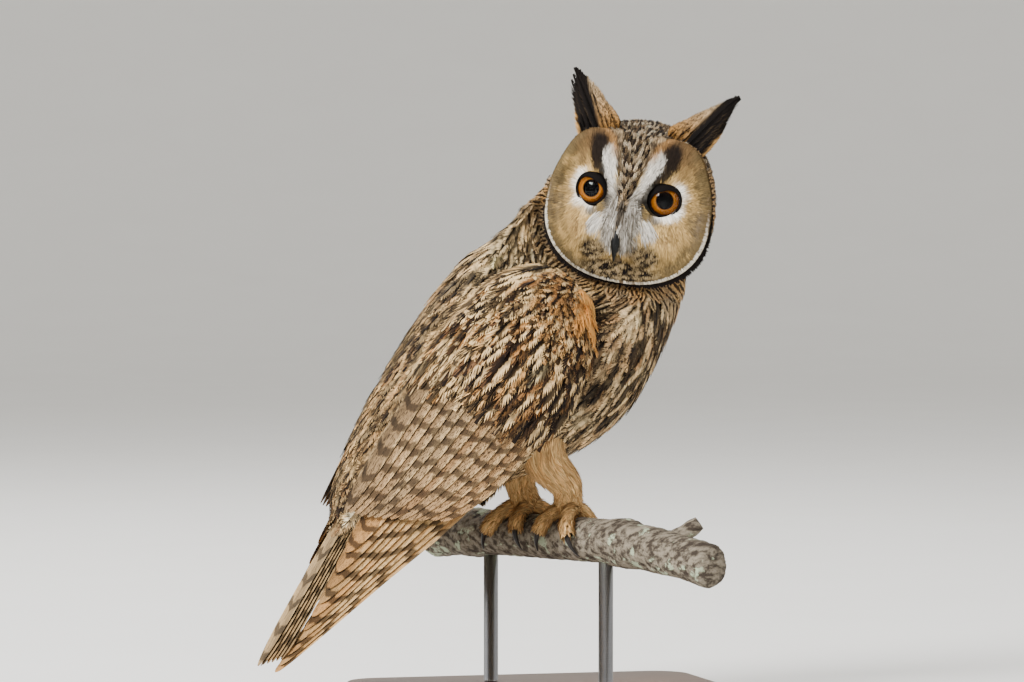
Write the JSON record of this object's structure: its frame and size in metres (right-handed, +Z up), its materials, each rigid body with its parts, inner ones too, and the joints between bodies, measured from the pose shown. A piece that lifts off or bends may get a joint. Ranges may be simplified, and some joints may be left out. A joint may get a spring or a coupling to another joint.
{
  "type": "perched long-eared owl model",
  "caption": "Life-size still model of a long-eared owl looking over its right shoulder, gripping a cut length of branch on a plain display stand.",
  "frame": {"origin": "centre of the flat underside of the stand's base", "axes": "+Z up, +X the way the owl's body faces, +Y to the owl's left; the head is turned towards -Y"},
  "size_m": [0.264, 0.2049, 0.3599],
  "materials": {
    "body_plumage": "buff and cream feathers with dark brown streaks, matt",
    "face_plumage": "fine buff feathers of the facial disc and grey-brown mottled crown, matt",
    "flight_feathers": "barred and mottled brown and buff feathers, matt",
    "tuft_feathers": "black-brown feathers with buff edges, matt",
    "leg_plumage": "plain buff short feathers, matt",
    "eye": "orange iris and black pupil under a clear glossy surface",
    "bill": "black horn, half gloss",
    "claw": "black horn, half gloss",
    "bark": "grey-brown bark with pale lichen, rough",
    "stand_wood": "dark stained wood, satin",
    "stand_steel": "brushed steel"
  },
  "bodies": {
    "root": {"bill_lower": "bill", "bill_upper": "bill", "claw_left_hind": "claw", "claw_left_inner": "claw", "claw_left_middle": "claw", "claw_left_outer": "claw", "claw_right_hind": "claw", "claw_right_inner": "claw", "claw_right_middle": "claw", "claw_right_outer": "claw", "ear_tuft_left": "tuft_feathers", "ear_tuft_right": "tuft_feathers", "eye_left": "eye", "eye_right": "eye", "foot_left": "leg_plumage", "foot_right": "leg_plumage", "head": "face_plumage", "leg_left": "leg_plumage", "leg_right": "leg_plumage", "neck": "body_plumage", "perch": "bark", "stand_base": "stand_wood", "stand_rod_back": "stand_steel", "stand_rod_front": "stand_steel", "tail": "flight_feathers", "torso": "body_plumage", "wing_left": "flight_feathers", "wing_right": "flight_feathers"}
  },
  "joints": []
}
